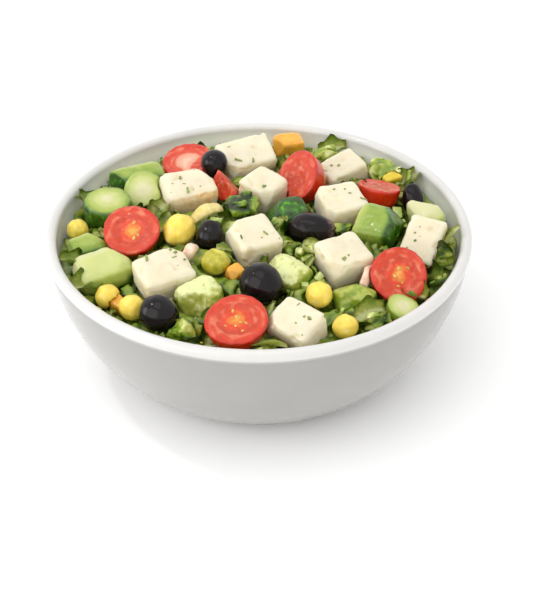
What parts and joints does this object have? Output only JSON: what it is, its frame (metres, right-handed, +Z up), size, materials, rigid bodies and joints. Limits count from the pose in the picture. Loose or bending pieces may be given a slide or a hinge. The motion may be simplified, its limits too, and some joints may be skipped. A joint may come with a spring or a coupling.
{
  "type": "greek salad",
  "caption": "Greek salad of feta cubes, cherry tomato halves, black olives, chickpeas, cucumber and leaves in a round white bowl with a beaded rim.",
  "frame": {"origin": "middle of the bowl's foot, on the ground plane", "axes": "+Z up through the bowl's middle; -Y is the side that faces the viewer; +X is to the viewer's right"},
  "size_m": [0.18, 0.18, 0.0756],
  "materials": {
    "porcelain": "white glazed porcelain",
    "greens": "moist chopped salad leaves",
    "feta": "soft crumbly white cheese",
    "tomato": "wet cut tomato",
    "black_olive": "glossy olive skin",
    "chickpea": "cooked chickpea with a soft sheen",
    "cucumber": "moist cut cucumber",
    "orange_pepper": "moist cut pepper",
    "onion": "moist onion",
    "lettuce": "crisp crumpled lettuce"
  },
  "bodies": {
    "root": {"bowl": "porcelain", "salad_heap": "greens", "chickpea_1": "chickpea", "chickpea_2": "chickpea", "chickpea_3": "chickpea", "chickpea_4": "chickpea", "chickpea_5": "chickpea", "chickpea_6": "chickpea", "chickpea_7": "chickpea", "cucumber_1": "cucumber", "cucumber_2": "cucumber", "cucumber_3": "cucumber", "cucumber_4": "cucumber", "cucumber_5": "cucumber", "cucumber_6": "cucumber", "cucumber_7": "cucumber", "cucumber_8": "cucumber", "cucumber_9": "cucumber", "feta_1": "feta", "feta_2": "feta", "feta_3": "feta", "feta_4": "feta", "feta_5": "feta", "feta_6": "feta", "feta_7": "feta", "feta_8": "feta", "feta_9": "feta", "feta_10": "feta", "greens_1": "lettuce", "greens_2": "lettuce", "greens_3": "lettuce", "greens_4": "lettuce", "greens_5": "lettuce", "greens_6": "lettuce", "greens_7": "lettuce", "greens_8": "lettuce", "greens_9": "lettuce", "greens_10": "lettuce", "olive_1": "black_olive", "olive_2": "black_olive", "olive_3": "black_olive", "olive_4": "black_olive", "olive_5": "black_olive", "olive_6": "black_olive", "onion_1": "onion", "onion_2": "onion", "onion_3": "onion", "pepper_1": "orange_pepper", "pepper_2": "orange_pepper", "pepper_3": "orange_pepper", "pepper_4": "orange_pepper", "tomato_1": "tomato", "tomato_2": "tomato", "tomato_3": "tomato", "tomato_4": "tomato", "tomato_5": "tomato", "tomato_6": "tomato", "tomato_7": "tomato"}
  },
  "joints": []
}
